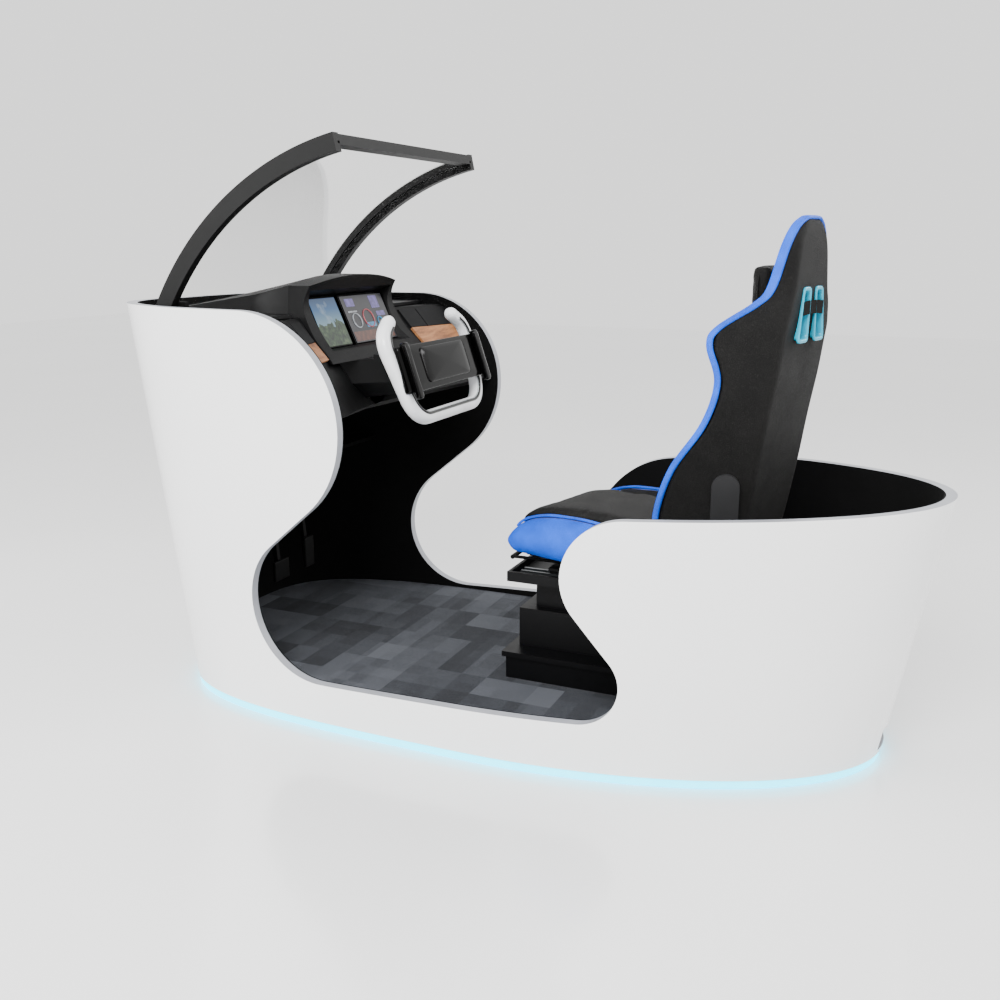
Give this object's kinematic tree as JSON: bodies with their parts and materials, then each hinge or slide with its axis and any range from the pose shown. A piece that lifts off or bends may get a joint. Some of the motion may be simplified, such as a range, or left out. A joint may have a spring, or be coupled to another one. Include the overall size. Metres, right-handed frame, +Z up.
{
  "type": "sitdown racing cabinet",
  "caption": "Sit-down racing pod: a white flared shell with open sides, a windscreen, a dashboard with displays and a yoke, and a bucket seat on a sliding swivel stand.",
  "frame": {"origin": "on the ground below the middle of the outline", "axes": "+X forward to the nose, +Y the driver's left, +Z up"},
  "size_m": [2.4839, 1.1206, 1.6927],
  "materials": {
    "shell_white": "high gloss white gelcoat",
    "lining_black": "matt black lining",
    "steel_black": "powder coated",
    "foot_rubber": "matt",
    "plywood": "raw plywood",
    "carpet_grey": "loop pile carpet tiles in mixed greys",
    "light_cyan": "lit diffuser",
    "panel_dark": "satin",
    "trim_wood": "open grain veneer",
    "dash_black": "soft touch",
    "screen_glass": "lit display",
    "rim_white": "satin white",
    "hub_gloss": "piano black",
    "bright_steel": "ground",
    "cast_alloy": "cast and anodised",
    "frame_black": "satin black",
    "clear_screen": "clear acrylic",
    "pedal_black": "black anodised",
    "case_black": "satin",
    "stand_black": "black powder coat",
    "seat_black": "grained black leather",
    "seat_blue": "smooth blue leather",
    "cover_grey": "moulded",
    "grommet_cyan": "moulded",
    "strap_black": "woven strap"
  },
  "bodies": {
    "cabinet": {"carpet": "carpet_grey", "chassis_frame": "steel_black", "column_shroud": "dash_black", "dash_beam": "steel_black", "dash_body": "dash_black", "dash_hood": "dash_black", "dash_panels": "panel_dark", "display_left": "screen_glass", "display_right": "screen_glass", "equipment_shelf": "lining_black", "floor_panel": "plywood", "game_computer": "case_black", "levelling_feet": "foot_rubber", "light_ring": "light_cyan", "lining_front": "lining_black", "lining_rear": "lining_black", "lower_rails": "bright_steel", "nose_deck": "dash_black", "pedal_bracket": "steel_black", "pedal_pins": "bright_steel", "pedal_springs": "bright_steel", "pedestal_base": "stand_black", "pedestal_lid": "stand_black", "pedestal_riser": "stand_black", "power_inlet": "case_black", "screen_bezel": "dash_black", "seat_column": "stand_black", "seat_plate": "stand_black", "shell_front": "shell_white", "shell_rear": "shell_white", "steering_motor": "cast_alloy", "windscreen_arm_left": "frame_black", "windscreen_arm_right": "frame_black", "windscreen_brackets": "steel_black", "windscreen_glass": "clear_screen", "windscreen_header": "frame_black", "wood_trims": "trim_wood"},
    "yoke": {"yoke_rim": "rim_white", "yoke_hub": "hub_gloss", "hub_bars": "hub_gloss", "steering_shaft": "bright_steel"},
    "throttle": {"throttle_pedal": "pedal_black"},
    "brake": {"brake_pedal": "pedal_black"},
    "carriage": {"seat_carriage": "steel_black"},
    "slide_handle": {"slide_handle": "steel_black"},
    "seat": {"seat_pan": "steel_black", "cushion_pad": "seat_black", "cushion_bolsters": "seat_blue", "hinge_plates": "steel_black", "hinge_covers": "cover_grey"},
    "backrest": {"hinge_arms": "steel_black", "arm_covers": "cover_grey", "backrest_shell": "seat_black", "backrest_pad": "seat_black", "backrest_bolsters": "seat_black", "strap_grommets": "grommet_cyan", "headrest_pillow": "seat_black", "headrest_strap": "strap_black"},
    "recline_lever": {"recline_lever": "cover_grey"},
    "power_switch": {"power_switch": "case_black"}
  },
  "joints": [
    {"name": "steering_turn", "type": "hinge", "parent": "cabinet", "child": "yoke", "pos_m": [0.285, 0, 1.039], "axis": [0.9483, 0, -0.3173], "range_deg": [-135, 135]},
    {"name": "throttle_press", "type": "hinge", "parent": "cabinet", "child": "throttle", "pos_m": [0.9, -0.12, 0.52], "axis": [0, 1, 0], "range_deg": [-20, 0], "stiffness_Nm_per_rad": 6, "springref_deg": 14.32},
    {"name": "brake_press", "type": "hinge", "parent": "cabinet", "child": "brake", "pos_m": [0.9, 0.05, 0.52], "axis": [0, 1, 0], "range_deg": [-16, 0], "stiffness_Nm_per_rad": 14, "springref_deg": 11.46},
    {"name": "seat_slide", "type": "slide", "parent": "cabinet", "child": "carriage", "axis": [1, 0, 0], "range_m": [-0.02, 0.09]},
    {"name": "seat_swivel", "type": "hinge", "parent": "carriage", "child": "seat", "pos_m": [-0.38, 0, 0.4924], "axis": [0, 0, 1], "range_deg": [-20, 50]},
    {"name": "slide_handle_lift", "type": "hinge", "parent": "carriage", "child": "slide_handle", "pos_m": [-0.205, 0, 0.484], "axis": [0, -1, 0], "range_deg": [0, 4], "stiffness_Nm_per_rad": 1.5},
    {"name": "backrest_recline", "type": "hinge", "parent": "seat", "child": "backrest", "pos_m": [-0.57801, 0.05306, 0.56], "axis": [0.2588, 0.9659, 0], "range_deg": [-18, 6]},
    {"name": "recline_lever_lift", "type": "hinge", "parent": "seat", "child": "recline_lever", "pos_m": [-0.4824, 0.28626, 0.53], "axis": [-0.2588, -0.9659, 0], "range_deg": [0, 16], "stiffness_Nm_per_rad": 1.2},
    {"name": "switch_rock", "type": "hinge", "parent": "cabinet", "child": "power_switch", "pos_m": [-1.061, 0.031, 0.074], "axis": [0, 1, 0], "range_deg": [-8, 8]}
  ]
}
